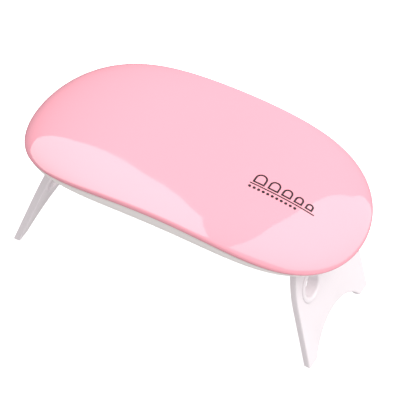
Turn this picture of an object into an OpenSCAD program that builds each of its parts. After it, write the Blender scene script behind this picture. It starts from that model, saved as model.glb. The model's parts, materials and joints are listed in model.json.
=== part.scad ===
// Folding LED lamp for curing nail gel: an arched shell on two splayed, folding legs.
// +X runs along the long axis, +Y to the side with the power socket, +Z up; z = 0 is the table.

/* [Shell] */
// Length of the cover along X
cover_length = 135; // [128:0.5:142]
// Width of the cover along Y
cover_width = 73.4; // [72:0.2:77]
// Squareness of the plan outline, as the power on X
outline_power = 4.2; // [3.6:0.1:5]
// Height of the cover rim above the table at mid length
rim_height = 57.8; // [56.5:0.1:60]
// Drop of the cover rim from mid length to the ends
rim_arch = 12; // [10:0.2:12.6]
// Rise of the crown above the rim at mid length
crown_rise = 3.5; // [3.2:0.1:5]
// Wall thickness of the cover
cover_wall = 1.8; // [1.4:0.1:2]
// Height of the housing side below the rim at mid length
housing_depth = 8.4; // [8.2:0.1:8.8]
// Drop of the underside from mid length to the ends
underside_arch = 4.6; // [4.2:0.1:5]
// How far the housing side curves inward towards the underside
side_curve = 5.8; // [5:0.1:6]
// Step of the housing side in from the cover edge
cover_overhang = 0.6; // [0.3:0.1:0.8]
// Wall thickness of the housing side
housing_wall = 2.2; // [2:0.1:2.4]
// Thickness of the housing underside
underside_wall = 1.8; // [1.6:0.1:2]
// Gap of the parting line between cover and housing
parting_gap = 0.3; // [0.3:0.05:0.6]

/* [Legs] */
// Distance of each hinge axis from the middle
hinge_x = 48.84; // [48.6:0.02:49.6]
// Height of the hinge axes above the table
hinge_z = 46; // [45.6:0.1:46.2]
// Outward lean of an open leg from the vertical
leg_splay = 15.77; // [14:0.01:17]
// Thickness of a leg at the hinge
leg_top_thickness = 2.8; // [2.4:0.1:3]
// Thickness of a leg at the foot
leg_foot_thickness = 2.6; // [2:0.1:2.8]
// Half width of a leg at the hinge
leg_top_half = 23.1; // [22.4:0.1:23.2]
// Half width of a leg at the foot
leg_foot_half = 24.4; // [23.8:0.1:24.8]
// Radius of the shoulders of a leg beside the hinge
shoulder_radius = 42; // [36:1:60]
// Radius of the arch between the two feet of a leg
arch_radius = 20.6; // [19:0.1:21]
// Distance of the arch centre from the hinge axis along the leg
arch_centre = 58.4; // [58:0.1:60]
// Radius of the round holes in a leg
leg_hole_radius = 4.8; // [3.5:0.1:5]
// Distance of the holes from the hinge axis along the leg
leg_hole_down = 16.6; // [15:0.1:18]
// Distance of the holes from the middle of a leg
leg_hole_side = 12.4; // [11:0.1:13]
// Width of the raised ring around a hole
ring_width = 2.3; // [1.5:0.1:2.6]
// Height of the raised ring above the outer leg face
ring_height = 0.7; // [0.4:0.1:1]
// Height of the collar around a hole on the inner leg face
collar_height = 1.2; // [0.6:0.1:1.3]
// Radius of a leg hole at the end of its collar
collar_bore = 4.4; // [4.2:0.1:4.6]

/* [Hinges] */
// Radius of a hinge pin
pin_radius = 0.8; // [0.7:0.05:0.9]
// Radial running clearance of a leg on its pin
pin_clearance = 0.05; // [0.03:0.01:0.08]
// Radius of the hinge knuckles
knuckle_radius = 1.7; // [1.6:0.05:1.8]
// Distance of the middle of a hinge ear from the middle of the lamp
ear_side = 8; // [7:0.1:9]
// Width of a hinge ear
ear_width = 4; // [3:0.1:5]

/* [Light] */
// Pitch of the two rows of lamps along X
led_pitch_x = 12; // [11.5:0.1:12.5]
// Pitch of the three lamps of a row along Y
led_pitch_y = 12; // [11.5:0.1:12.5]
// Size of a lamp package
led_size = 3.5; // [3:0.1:3.6]
// Radius of the lens on a lamp package
lens_radius = 1.4; // [1.2:0.1:1.5]
// Mouth radius of a reflector cup
cup_mouth = 5.2; // [4.6:0.1:5.4]
// Throat radius of a reflector cup
cup_throat = 2.7; // [2.6:0.1:3]

/* [Controls] */
// Distance of the power socket from the middle
socket_x = -11; // [-13:0.5:-9]
// Distance of the power button from the middle
button_x = 11; // [9:0.5:13]
// Width of the power button
button_width = 8; // [7:0.1:9]
// Height of the power button
button_height = 3.4; // [3:0.1:3.6]
// Travel of the power button
button_travel = 0.3; // [0.2:0.05:0.35]

/* [Hidden] */
$fn = 64;
eps = 0.02;
gap = 0.3;

half_x = cover_length / 2;
half_y = cover_width / 2;
top_z = rim_height + crown_rise;
crown_power = 3.16;
crown_round = 0.62;
sides = 96;
dome_steps = 10;
inner_dome_steps = 7;
side_steps = 6;
far = 200;

underside_z = rim_height - housing_depth;
floor_z = underside_z + underside_wall;
rib_inset = cover_overhang + housing_wall + 0.35;
rib_width = 1;
rib_depth = 1;
rib_half_x = 44;
rib_notch = button_width + 4;
rib_notch_depth = 12;
rib_notch_height = 8;
rib_reach = 3;
seat_depth = 0.5;
pilot_overrun = 1.2;
boss_overlap = 2.6;
flange_width = button_width + 2;
flange_height = button_height + 1.6;

leg_length = hinge_z / cos(leg_splay);
shoulder_end = 20;
collar_wall = 1.6;
pocket_top = hinge_z + knuckle_radius + gap;
pocket_inner = hinge_x - 8;
pocket_outer = hinge_x + 3.9;
pocket_half = leg_half(hinge_x - pocket_inner) + 2 * gap;
pin_half = pocket_half - 0.4;
heel_reach = 3.2;

window_x = led_pitch_x + 2 * cup_mouth + 2.6;
window_y = 2 * led_pitch_y + 2 * cup_mouth + 4.6;
window_corner = 6;
flange_border = 2;
flange_thickness = 0.8;
reflector_low = underside_z + 0.5;
led_height = 1;
led_board_low = floor_z + 1.6;
led_board_thickness = 1;
led_board_top = led_board_low + led_board_thickness;
led_screw_y = window_y / 2 + 1.1;

board_low = led_board_top + 1.5;
board_thickness = 1.2;
board_top = board_low + board_thickness;
board_half_x = 22;
board_front = 3;
board_rear = half_y - 5.2;
board_post_x = 19;
board_post_ys = [board_front + 3, board_rear - 3];
post_radius = 2.2;
small_screw_radius = 0.8;
small_head_radius = 1.6;
small_head_height = 0.9;

case_screw_x = 30;
case_screw_y = 26.4;
case_screw_radius = 0.9;
case_head_radius = 1.85;
case_head_height = 1.1;
case_seat_z = underside_z + 0.5;
case_joint_z = underside_z + 4.6;
case_screw_top = case_joint_z + 3.4;
boss_radius = 2.7;
boss_top_radius = boss_radius - gap;

socket_width = 7.5;
socket_height = 2.5;
socket_depth = 5.5;
socket_wall = 0.3;
socket_mid_z = board_low - socket_height / 2;
socket_face_y = half_y - 1.1;

button_mid_z = board_low - 1.4;
button_face_y = half_y - 0.1;
button_flange_y = half_y - 4.65;
button_flange_thickness = 0.9;
switch_width = 6;
switch_height = 2.7;
switch_depth = 3.4;
switch_front_y = button_flange_y - 1;
plunger_radius = 0.9;
plunger_seat = 0.6;

cover_pink = [1, 0.71, 0.78];
shell_white = [0.94, 0.92, 0.92];
steel_grey = [0.72, 0.73, 0.75];
bright_silver = [0.86, 0.87, 0.89];
board_green = [0.1, 0.35, 0.2];
part_black = [0.08, 0.08, 0.09];
gold_tone = [0.85, 0.68, 0.3];

// Plan outline point at angle t, set in from the cover edge
function plan_point(t, inset) =
    [(half_x - inset) * cos(t),
     (half_y - inset) * sign(sin(t)) * sqrt(max(0, 1 - pow(abs(cos(t)), outline_power)))];

// Height of the cover rim and of the underside at x
function rim_z(x) = rim_height - rim_arch * pow(x / half_x, 2);
function low_z(x) = underside_z - underside_arch * pow(x / half_x, 2);

// Half width of a leg at the distance down from its hinge
function leg_half(down) =
    leg_top_half + (leg_foot_half - leg_top_half) * down / leg_length
    - pow(max(0, shoulder_end - down), 2) / (2 * shoulder_radius);

// One ring of the crown at the fraction rho of the outline, set in by the wall
function crown_ring(rho, inset) =
    [for (i = [0:sides - 1])
        let (p = plan_point(360 * i / sides, inset))
        let (z = rim_z(p.x))
        [p.x * rho, p.y * rho,
         z + (top_z - inset - z) * pow(1 - pow(rho, crown_power), crown_round)]];

// Fraction of the outline for step k of n, closer together near the rim
function crown_rho(k, n) = 1 - 0.9 * pow(k / n, 2.2);

// Ring at a fixed inset, raised from the cover rim
function rim_ring(inset, rise) =
    [for (i = [0:sides - 1])
        let (p = plan_point(360 * i / sides, inset))
        [p.x, p.y, rim_z(p.x) + rise]];

// Ring at a fixed inset and height
function level_ring(inset, z) =
    [for (i = [0:sides - 1])
        let (p = plan_point(360 * i / sides, inset))
        [p.x, p.y, z]];

// Ring of the housing side: turn 0 is the rim, turn 90 the underside
function side_ring(turn, inset, lift, drop) =
    [for (i = [0:sides - 1])
        let (p = plan_point(360 * i / sides, inset + side_curve * (1 - cos(turn))))
        let (low = low_z(p.x) + lift)
        let (high = max(rim_z(p.x) - drop, low + gap))
        [p.x, p.y, high + (low - high) * sin(turn)]];

// Closed solid through a list of rings, lowest first
module loft(rings) {
    n = len(rings[0]);
    last = (len(rings) - 1) * n;
    points = [for (ring = rings) each ring];
    wall_a = [for (k = [0:len(rings) - 2]) for (i = [0:n - 1])
        [k * n + i, (k + 1) * n + (i + 1) % n, k * n + (i + 1) % n]];
    wall_b = [for (k = [0:len(rings) - 2]) for (i = [0:n - 1])
        [k * n + i, (k + 1) * n + i, (k + 1) * n + (i + 1) % n]];
    low_a = [for (i = [0:n / 2 - 1]) [i, i + 1, n - i - 1]];
    low_b = [for (i = [1:n / 2 - 1]) [i, n - i - 1, n - i]];
    top_a = [for (f = low_a) [last + f[2], last + f[1], last + f[0]]];
    top_b = [for (f = low_b) [last + f[2], last + f[1], last + f[0]]];
    polyhedron(points, concat(wall_a, wall_b, low_a, low_b, top_a, top_b));
}

// Upright plate with rounded corners, centred on X and Y
module rounded_plate(x, y, corner, height) {
    cube([x - 2 * corner, y, 2 * height], center = true);
    cube([x, y - 2 * corner, 2 * height], center = true);
    for (sx = [-1, 1], sy = [-1, 1])
        translate([sx * (x / 2 - corner), sy * (y / 2 - corner), 0])
            cylinder(h = 2 * height, r = corner, center = true);
}

// Plate of the same plan, standing from z = 0
module rounded_slab(x, y, corner, height) {
    translate([0, 0, height / 2])
        rounded_plate(x, y, corner, height / 2);
}

// Stadium bar lying along Y, starting at y = 0
module pill(width, height, depth) {
    for (side = [-1, 1])
        translate([side * (width - height) / 2, 0, 0])
            rotate([-90, 0, 0])
                cylinder(h = depth, d = height);
    translate([-(width - height) / 2, 0, -height / 2])
        cube([width - height, depth, height]);
}

// Bar along Y centred on the origin
module bar_y(radius, length) {
    rotate([90, 0, 0])
        cylinder(h = length, r = radius, center = true);
}

module at_leds() {
    for (ix = [-0.5, 0.5], iy = [-1, 0, 1])
        translate([ix * led_pitch_x, iy * led_pitch_y, 0])
            children();
}

module at_board_posts() {
    for (sx = [-1, 1], y = board_post_ys)
        translate([sx * board_post_x, y, 0])
            children();
}

module at_case_screws() {
    for (sx = [-1, 1], sy = [-1, 1])
        translate([sx * case_screw_x, sy * case_screw_y, 0])
            children();
}

module crown_solid(inset) {
    loft([for (k = [0:dome_steps]) crown_ring(crown_rho(k, dome_steps), inset)]);
}

module crown_hollow() {
    loft(concat([rim_ring(cover_wall, -2)],
                [for (k = [0:inner_dome_steps])
                    crown_ring(crown_rho(k, inner_dome_steps), cover_wall)]));
}

// Locating rib on the long sides, which enters the housing inside its wall
module cover_rib() {
    intersection() {
        difference() {
            loft([rim_ring(rib_inset, -rib_depth), rim_ring(rib_inset, 2 * rib_reach)]);
            loft([rim_ring(rib_inset + rib_width, -rib_reach),
                  rim_ring(rib_inset + rib_width, 3 * rib_reach)]);
            translate([button_x, half_y, button_mid_z])
                cube([rib_notch, rib_notch_depth, rib_notch_height], center = true);
        }
        cube([2 * rib_half_x, far, far], center = true);
        union() {
            crown_solid(cover_wall / 2);
            loft([rim_ring(1, -rib_reach), rim_ring(1, gap)]);
        }
    }
}

module top_cover() {
    color(cover_pink)
    difference() {
        union() {
            difference() {
                crown_solid(0);
                crown_hollow();
            }
            cover_rib();
            intersection() {
                crown_solid(cover_wall / 2);
                at_case_screws()
                    translate([0, 0, case_joint_z])
                        cylinder(h = far, r = boss_top_radius);
            }
            at_case_screws()
                translate([0, 0, case_joint_z])
                    cylinder(h = boss_overlap, r = boss_top_radius);
        }
        at_case_screws()
            translate([0, 0, case_joint_z - 1])
                cylinder(h = case_screw_top - case_joint_z + pilot_overrun, r = case_screw_radius);
    }
}

module housing_solid() {
    loft([for (k = [side_steps:-1:0])
        side_ring(90 * k / side_steps, cover_overhang, 0, parting_gap)]);
}

module housing_hollow() {
    inset = cover_overhang + housing_wall;
    loft(concat([for (k = [side_steps:-1:0])
                    side_ring(90 * k / side_steps, inset, underside_wall, 0)],
                [level_ring(inset, top_z + 5)]));
}

// Parts of the housing that stand inside it
module housing_inside() {
    intersection() {
        union() {
            at_case_screws()
                translate([0, 0, underside_z - seat_depth])
                    cylinder(h = case_joint_z - underside_z + seat_depth, r = boss_radius);
            at_board_posts()
                translate([0, 0, underside_z + seat_depth])
                    cylinder(h = board_low - underside_z - seat_depth, r = post_radius);
        }
        loft([for (k = [side_steps:-1:0])
            side_ring(90 * k / side_steps, cover_overhang + 1, 0.6, parting_gap)]);
    }
}

module leg_pocket() {
    for (side = [0, 1])
        mirror([side, 0, 0])
            translate([pocket_inner, -pocket_half, 0])
                cube([pocket_outer - pocket_inner, 2 * pocket_half, pocket_top]);
}

module hinge_ears() {
    for (side = [0, 1])
        mirror([side, 0, 0])
            for (sy = [-1, 1])
                translate([hinge_x, sy * ear_side, hinge_z]) {
                    bar_y(knuckle_radius, ear_width);
                    translate([-knuckle_radius, -ear_width / 2, 0])
                        cube([2 * knuckle_radius, ear_width, pocket_top - hinge_z + 0.5]);
                }
}

module pin_bores(radius) {
    for (side = [0, 1])
        mirror([side, 0, 0])
            translate([hinge_x, 0, hinge_z])
                bar_y(radius, 2 * (ear_side + ear_width));
}

module bottom_housing() {
    color(shell_white)
    difference() {
        union() {
            difference() {
                housing_solid();
                housing_hollow();
                leg_pocket();
            }
            housing_inside();
            hinge_ears();
        }
        pin_bores(pin_radius);
        translate([0, 0, underside_z])
            rounded_plate(window_x, window_y, window_corner, 6);
        at_case_screws() {
            translate([0, 0, case_seat_z - 5])
                cylinder(h = 5, r = case_head_radius + 0.25);
            cylinder(h = far, r = case_screw_radius + 0.2);
        }
        at_board_posts()
            translate([0, 0, board_low - 3])
                cylinder(h = 10, r = small_screw_radius);
        for (sy = [-1, 1])
            translate([0, sy * led_screw_y, floor_z - pilot_overrun])
                cylinder(h = 5, r = small_screw_radius);
        translate([socket_x, board_rear + 6, socket_mid_z])
            cube([socket_width + 0.6, 12, socket_height + 0.6], center = true);
        translate([button_x, board_rear, button_mid_z])
            pill(button_width + 2 * gap, button_height + 2 * gap, 12);
        translate([button_x, button_flange_y + button_flange_thickness + gap - 3, button_mid_z])
            cube([flange_width + 2 * gap, 6, flange_height + 2 * gap], center = true);
    }
}

module case_screws() {
    color(steel_grey)
    at_case_screws()
        difference() {
            union() {
                translate([0, 0, case_seat_z - case_head_height])
                    cylinder(h = case_head_height, r = case_head_radius);
                translate([0, 0, case_seat_z - eps])
                    cylinder(h = case_screw_top - case_seat_z, r = case_screw_radius);
            }
            for (turn = [0, 90])
                translate([0, 0, case_seat_z - case_head_height])
                    rotate([0, 0, turn])
                        cube([2.2, 0.5, 1.2], center = true);
        }
}

module reflector_plate() {
    color(bright_silver)
    difference() {
        union() {
            translate([0, 0, reflector_low])
                rounded_slab(window_x - gap, window_y - gap, window_corner - gap / 2,
                             led_board_low - reflector_low);
            translate([0, 0, floor_z])
                rounded_slab(window_x + 2 * flange_border, window_y + 2 * flange_border,
                             window_corner, flange_thickness);
            for (sy = [-1, 1])
                translate([0, sy * led_screw_y, floor_z])
                    cylinder(h = led_board_low - floor_z, r = 1.8);
        }
        at_leds() {
            translate([0, 0, reflector_low - eps])
                cylinder(h = led_board_low - reflector_low - led_height, r1 = cup_mouth,
                         r2 = cup_throat);
            translate([0, 0, reflector_low])
                cylinder(h = 10, r = cup_throat);
        }
        for (sy = [-1, 1])
            translate([0, sy * led_screw_y, floor_z - 1])
                cylinder(h = 5, r = small_screw_radius + 0.15);
    }
}

module led_board() {
    color(bright_silver)
    difference() {
        translate([0, 0, led_board_low])
            rounded_slab(window_x + 2 * flange_border, window_y + 2 * flange_border,
                         window_corner, led_board_thickness);
        for (sy = [-1, 1])
            translate([0, sy * led_screw_y, led_board_low - 1])
                cylinder(h = 5, r = small_screw_radius + 0.15);
    }
}

module led_packages() {
    color(gold_tone)
    at_leds()
        translate([-led_size / 2, -led_size / 2, led_board_low - led_height])
            cube([led_size, led_size, led_height]);
}

module led_lenses() {
    color([0.85, 0.85, 0.6])
    at_leds()
        intersection() {
            translate([0, 0, led_board_low - led_height])
                sphere(r = lens_radius);
            translate([-5, -5, led_board_low - led_height - 10])
                cube([10, 10, 10]);
        }
}

module led_board_screws() {
    color(steel_grey)
    for (sy = [-1, 1])
        translate([0, sy * led_screw_y, 0])
            difference() {
                union() {
                    translate([0, 0, led_board_top])
                        cylinder(h = small_head_height, r = small_head_radius);
                    translate([0, 0, floor_z - 1])
                        cylinder(h = led_board_top - floor_z + 1 + eps, r = small_screw_radius);
                }
                for (turn = [0, 90])
                    translate([0, 0, led_board_top + small_head_height])
                        rotate([0, 0, turn])
                            cube([1.9, 0.45, 0.9], center = true);
            }
}

module main_board() {
    color(board_green)
    difference() {
        translate([-board_half_x, board_front, board_low])
            cube([2 * board_half_x, board_rear - board_front, board_thickness]);
        at_board_posts()
            translate([0, 0, board_low - 1])
                cylinder(h = 5, r = small_screw_radius + 0.15);
    }
}

module main_board_screws() {
    color(steel_grey)
    at_board_posts()
        difference() {
            union() {
                translate([0, 0, board_top])
                    cylinder(h = small_head_height, r = small_head_radius);
                translate([0, 0, board_low - 2.6])
                    cylinder(h = board_thickness + 2.6 + eps, r = small_screw_radius);
            }
            for (turn = [0, 90])
                translate([0, 0, board_top + small_head_height])
                    rotate([0, 0, turn])
                        cube([1.9, 0.45, 0.9], center = true);
        }
}

// Section of the socket shell: flat on the board side, narrower below
module socket_section(wall) {
    w = socket_width / 2 - wall;
    h = socket_height / 2 - wall;
    polygon([[-w, h], [w, h], [w, -h * 0.2], [w - 1.1, -h], [-w + 1.1, -h], [-w, -h * 0.2]]);
}

module usb_shell() {
    color(steel_grey)
    translate([socket_x, socket_face_y, socket_mid_z])
        rotate([90, 0, 0])
            difference() {
                linear_extrude(height = socket_depth)
                    socket_section(0);
                translate([0, 0, -1])
                    linear_extrude(height = socket_depth + 0.4)
                        socket_section(socket_wall);
            }
}

module usb_tongue() {
    color(part_black)
    translate([socket_x, socket_face_y - socket_depth + 0.6, socket_mid_z + 0.1]) {
        translate([-1.9, 0, 0])
            cube([3.8, 3.6, 0.55]);
        translate([-2.2, 0, -0.5])
            cube([4.4, 1, 1.2]);
    }
}

module usb_contacts() {
    color(gold_tone)
    for (i = [-2:2])
        translate([socket_x + i * 0.65 - 0.15, socket_face_y - socket_depth + 1.8,
                   socket_mid_z - 0.05])
            cube([0.3, 2.2, 0.15]);
}

module switch_body() {
    color(part_black)
    difference() {
        translate([button_x - switch_width / 2, switch_front_y - switch_depth,
                   board_low - switch_height])
            cube([switch_width, switch_depth, switch_height]);
        translate([button_x, switch_front_y - plunger_seat - button_travel - gap, button_mid_z])
            rotate([-90, 0, 0])
                cylinder(h = 5, r = plunger_radius + pin_clearance);
    }
}

module switch_plunger() {
    color([0.9, 0.88, 0.82])
    translate([button_x, switch_front_y - plunger_seat, button_mid_z])
        rotate([-90, 0, 0])
            cylinder(h = button_flange_y - switch_front_y + plunger_seat, r = plunger_radius);
}

module power_button() {
    color(shell_white)
    translate([button_x, button_flange_y, button_mid_z]) {
        pill(button_width, button_height, button_face_y - button_flange_y);
        pill(flange_width, flange_height, button_flange_thickness);
    }
}

// Small outline package: body with leads along both long sides
module soic(leads) {
    pitch = 1.27;
    length = leads * pitch + 0.1;
    translate([-length / 2, -1.95, 0.15])
        cube([length, 3.9, 1.35]);
    for (i = [0:leads - 1], side = [-1, 1])
        translate([(i - (leads - 1) / 2) * pitch - 0.2, side * 2.45 - 0.6, 0])
            cube([0.4, 1.2, 0.3]);
}

module controller_chip() {
    color(part_black)
    translate([5, board_front + 12, board_top])
        soic(7);
}

module driver_chip() {
    color(part_black)
    translate([-10, board_front + 8, board_top])
        soic(4);
}

module inductor() {
    color([0.25, 0.25, 0.27])
    translate([-9, board_front + 16, board_top]) {
        translate([-2.5, -2.5, 0])
            cube([5, 5, 0.4]);
        cylinder(h = 2, r = 2.2);
    }
}

module chip_row(count, pitch, length, width, height) {
    for (i = [0:count - 1])
        translate([(i - (count - 1) / 2) * pitch - length / 2, -width / 2, 0])
            cube([length, width, height]);
}

module resistors() {
    color([0.15, 0.15, 0.18])
    translate([5, board_front + 20, board_top])
        chip_row(4, 3, 1.6, 0.8, 0.45);
}

module capacitors() {
    color([0.6, 0.48, 0.35])
    translate([7, board_front + 5, board_top])
        chip_row(3, 3.6, 2, 1.25, 0.9);
}

// Lead from the light board up and over the edge of the main board
module wire(x) {
    radius = 0.45;
    bend = 1.9;
    bend_z = board_top + 0.4;
    board_y = board_front + 1.6;
    translate([x, board_y, board_top])
        cylinder(h = bend_z - board_top, r = radius);
    translate([x, board_y - 2 * bend, led_board_top])
        cylinder(h = bend_z - led_board_top, r = radius);
    translate([x, board_y - bend, bend_z])
        rotate([0, -90, 0])
            rotate([0, 0, -90])
                rotate_extrude(angle = 180)
                    translate([bend, 0])
                        circle(r = radius);
}

module wire_red() {
    color([0.75, 0.08, 0.08])
    wire(-2.6);
}

module wire_black() {
    color(part_black)
    wire(2.6);
}

// Leg in its own frame: hinge axis along Y, leg down -Z, outer face towards +X
module leg_blank() {
    reach = leg_length + 3;
    foot_thick = leg_top_thickness
        + (leg_foot_thickness - leg_top_thickness) * reach / leg_length;
    downs = concat([for (down = [0:2:shoulder_end]) down], [reach]);
    front = [for (down = downs) [-leg_half(down), -down]];
    rear = [for (i = [len(front) - 1:-1:0]) [-front[i].x, front[i].y]];
    intersection() {
        rotate([90, 0, 90])
            linear_extrude(height = 20, center = true)
                difference() {
                    polygon(concat(front, rear));
                    translate([0, -arch_centre])
                        circle(r = arch_radius);
                }
        rotate([90, 0, 0])
            linear_extrude(height = far, center = true)
                polygon([[-leg_top_thickness / 2, 0], [leg_top_thickness / 2, 0],
                         [foot_thick / 2, -reach], [-foot_thick / 2, -reach]]);
    }
}

module at_leg_holes() {
    for (sy = [-1, 1])
        translate([0, sy * leg_hole_side, -leg_hole_down])
            rotate([0, 90, 0])
                children();
}

module leg_hinged() {
    notch = ear_width + 2 * gap;
    barrel_half = leg_half(0);
    heel_half = barrel_half - 1;
    ring_top = leg_top_thickness / 2 + ring_height;
    collar_top = leg_top_thickness / 2 + collar_height;
    difference() {
        union() {
            leg_blank();
            bar_y(knuckle_radius, 2 * barrel_half);
            translate([0, -heel_half, -knuckle_radius])
                cube([heel_reach, 2 * heel_half, knuckle_radius + 0.4]);
            at_leg_holes() {
                cylinder(h = ring_top, r = leg_hole_radius + ring_width);
                translate([0, 0, -collar_top])
                    cylinder(h = collar_top, r = leg_hole_radius + collar_wall);
            }
        }
        bar_y(pin_radius + pin_clearance, 2 * leg_top_half);
        for (sy = [-1, 1])
            translate([-10, sy * ear_side - notch / 2, -knuckle_radius - 0.5])
                cube([20, notch, 10]);
        at_leg_holes() {
            translate([0, 0, -collar_top])
                cylinder(h = ring_top + collar_top, r1 = collar_bore, r2 = leg_hole_radius);
        }
    }
}

module leg() {
    color(shell_white)
    difference() {
        translate([hinge_x, 0, hinge_z])
            rotate([0, -leg_splay, 0])
                leg_hinged();
        translate([0, 0, -10])
            cube([far, far, 20], center = true);
    }
}

module right_leg() {
    leg();
}

module left_leg() {
    mirror([1, 0, 0])
        leg();
}

module hinge_pin(side) {
    color(steel_grey)
    translate([side * hinge_x, 0, hinge_z])
        bar_y(pin_radius, 2 * pin_half);
}

module left_hinge_pin() {
    hinge_pin(-1);
}

module right_hinge_pin() {
    hinge_pin(1);
}

top_cover();
bottom_housing();
case_screws();
reflector_plate();
led_board();
led_packages();
led_lenses();
led_board_screws();
main_board();
main_board_screws();
usb_shell();
usb_tongue();
usb_contacts();
switch_body();
switch_plunger();
power_button();
controller_chip();
driver_chip();
inductor();
resistors();
capacitors();
wire_red();
wire_black();
left_leg();
right_leg();
left_hinge_pin();
right_hinge_pin();
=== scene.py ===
"""Looks of the folding nail lamp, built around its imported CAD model. Sizes are in millimetres."""

import json
import math

import bmesh
import bpy
from mathutils import Matrix, Vector


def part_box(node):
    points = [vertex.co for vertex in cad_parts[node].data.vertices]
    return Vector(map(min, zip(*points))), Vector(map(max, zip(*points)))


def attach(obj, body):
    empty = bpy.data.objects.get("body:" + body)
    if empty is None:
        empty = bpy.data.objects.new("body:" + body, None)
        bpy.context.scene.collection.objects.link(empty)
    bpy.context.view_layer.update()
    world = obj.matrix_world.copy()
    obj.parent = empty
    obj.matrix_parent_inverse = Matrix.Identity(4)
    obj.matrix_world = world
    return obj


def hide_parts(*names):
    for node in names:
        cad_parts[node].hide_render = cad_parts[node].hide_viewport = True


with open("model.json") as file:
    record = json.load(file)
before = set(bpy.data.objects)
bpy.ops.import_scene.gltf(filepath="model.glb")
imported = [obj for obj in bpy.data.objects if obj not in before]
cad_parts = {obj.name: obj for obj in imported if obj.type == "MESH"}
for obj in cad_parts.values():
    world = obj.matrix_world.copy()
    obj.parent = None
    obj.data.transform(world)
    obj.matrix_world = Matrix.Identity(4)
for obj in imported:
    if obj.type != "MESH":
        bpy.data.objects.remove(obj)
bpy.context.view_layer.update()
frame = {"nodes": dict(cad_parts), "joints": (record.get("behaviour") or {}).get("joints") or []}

MM = 0.001
nodes = frame["nodes"]
scene = bpy.context.scene


# ---------------------------------------------------------------- dimensions
# Named as in the CAD model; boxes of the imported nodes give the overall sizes.

def box_mm(node):
    """Lowest and highest corner of a CAD node, in millimetres."""
    low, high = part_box(node)
    return [v / MM for v in low], [v / MM for v in high]


cover_high = box_mm("top_cover")[1]
HALF_X = cover_high[0]
HALF_Y = cover_high[1]
TOP_Z = round(cover_high[2], 1)
OUTLINE_POWER = 4.2
CROWN_RISE = 3.5
RIM_HEIGHT = TOP_Z - CROWN_RISE
RIM_ARCH = 12.0
CROWN_POWER = 3.16
CROWN_ROUND = 0.62
COVER_WALL = 1.8
LIP_RADIUS = 0.7
EDGE_RADIUS = 1.5
EDGE_LIFT = 0.9
EDGE_DROP = 0.84
SKIRT_INSET = 0.75
SKIRT_DEPTH = 0.45

HOUSING_DEPTH = 8.4
UNDERSIDE_ARCH = 4.6
SIDE_CURVE = 5.8
OVERHANG = 0.6
HOUSING_WALL = 2.2
UNDERSIDE_WALL = 1.8
PARTING_GAP = 0.3
UNDERSIDE_Z = RIM_HEIGHT - HOUSING_DEPTH
FLOOR_Z = UNDERSIDE_Z + UNDERSIDE_WALL
RIB_INSET = OVERHANG + HOUSING_WALL + 0.35
RIB_WIDTH = 1.0
RIB_DEPTH = 1.0
RIB_HALF_X = 44.0

joints = {joint["name"]: joint for joint in frame["joints"]}
hinge = joints["right_leg_hinge"]["pos_m"]
HINGE_X = hinge[0] / MM
HINGE_Z = hinge[2] / MM
SPLAY = math.radians(15.77)
LEG_LENGTH = HINGE_Z / math.cos(SPLAY)
LEG_TOP_THICK = 2.8
LEG_FOOT_THICK = 2.6
LEG_TOP_HALF = 23.1
LEG_FOOT_HALF = 24.4
SHOULDER_END = 20.0
SHOULDER_RADIUS = 42.0
ARCH_RADIUS = 20.6
ARCH_CENTRE = 58.4
HOLE_RADIUS = 4.8
HOLE_DOWN = 16.6
HOLE_SIDE = 12.4
RING_WIDTH = 2.3
RING_HEIGHT = 0.7
COLLAR_WALL = 1.6
COLLAR_HEIGHT = 1.2
COLLAR_BORE = 4.4
LEG_EDGE = 0.55
ROOT = 0.5
BORE_STOCK = 0.4
KNUCKLE = 1.7
PIN_RADIUS = 0.8
EAR_SIDE = 8.0
EAR_WIDTH = 4.0
CLEAR = 0.3
HEEL_REACH = 3.2
POCKET_INWARD = 8.0
POCKET_OUTWARD = 3.9

case_high = box_mm("case_screws")[1]
CASE_HEAD = 1.85
CASE_SCREW_X = case_high[0] - CASE_HEAD
CASE_SCREW_Y = case_high[1] - CASE_HEAD
CASE_SEAT_Z = UNDERSIDE_Z + 0.5
CASE_JOINT_Z = UNDERSIDE_Z + 4.6
CASE_BOSS = 2.7
CASE_BORE = 0.9
CASE_WAY = 1.1
CASE_SEAT = CASE_HEAD + 0.25
board_low, board_high = box_mm("main_board")
post_low, post_high = box_mm("main_board_screws")
SMALL_HEAD = 1.6
SMALL_BORE = 0.8
BOARD_POST = 2.2
socket_low, socket_high = box_mm("usb_shell")
button_low, button_high = box_mm("power_button")
BUTTON_X = (button_low[0] + button_high[0]) / 2
BUTTON_Z = (button_low[2] + button_high[2]) / 2
BUTTON_WIDTH = button_high[0] - button_low[0] - 2.0
BUTTON_HEIGHT = button_high[2] - button_low[2] - 1.6
FLANGE_THICK = 0.9
window_low, window_high = box_mm("led_board")
WINDOW_X = window_high[0] - window_low[0] - 4.0
WINDOW_Y = window_high[1] - window_low[1] - 4.0
WINDOW_CORNER = 6.0

AROUND = 192
OVERRUN = 5.0
WINDOW_CUT = 6.0
PORT_CUT = 12.0


# ---------------------------------------------------------------- shape formulas

def plan_point(t, inset):
    """Point of the plan outline at angle t, set in from the cover edge."""
    c = math.cos(t)
    s = math.sin(t)
    y = math.sqrt(max(0.0, 1.0 - abs(c) ** OUTLINE_POWER))
    if abs(s) < 1e-9:
        y = 0.0
    return (HALF_X - inset) * c, math.copysign((HALF_Y - inset) * y, s)


def rim_z(x):
    return RIM_HEIGHT - RIM_ARCH * (x / HALF_X) ** 2


def low_z(x):
    return UNDERSIDE_Z - UNDERSIDE_ARCH * (x / HALF_X) ** 2


def edge_lift(x):
    """Height of the foot of the crown curve above the rim; the edge rounding takes some back."""
    return EDGE_LIFT + EDGE_DROP * (1 - (x / HALF_X) ** 2) ** 2


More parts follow.
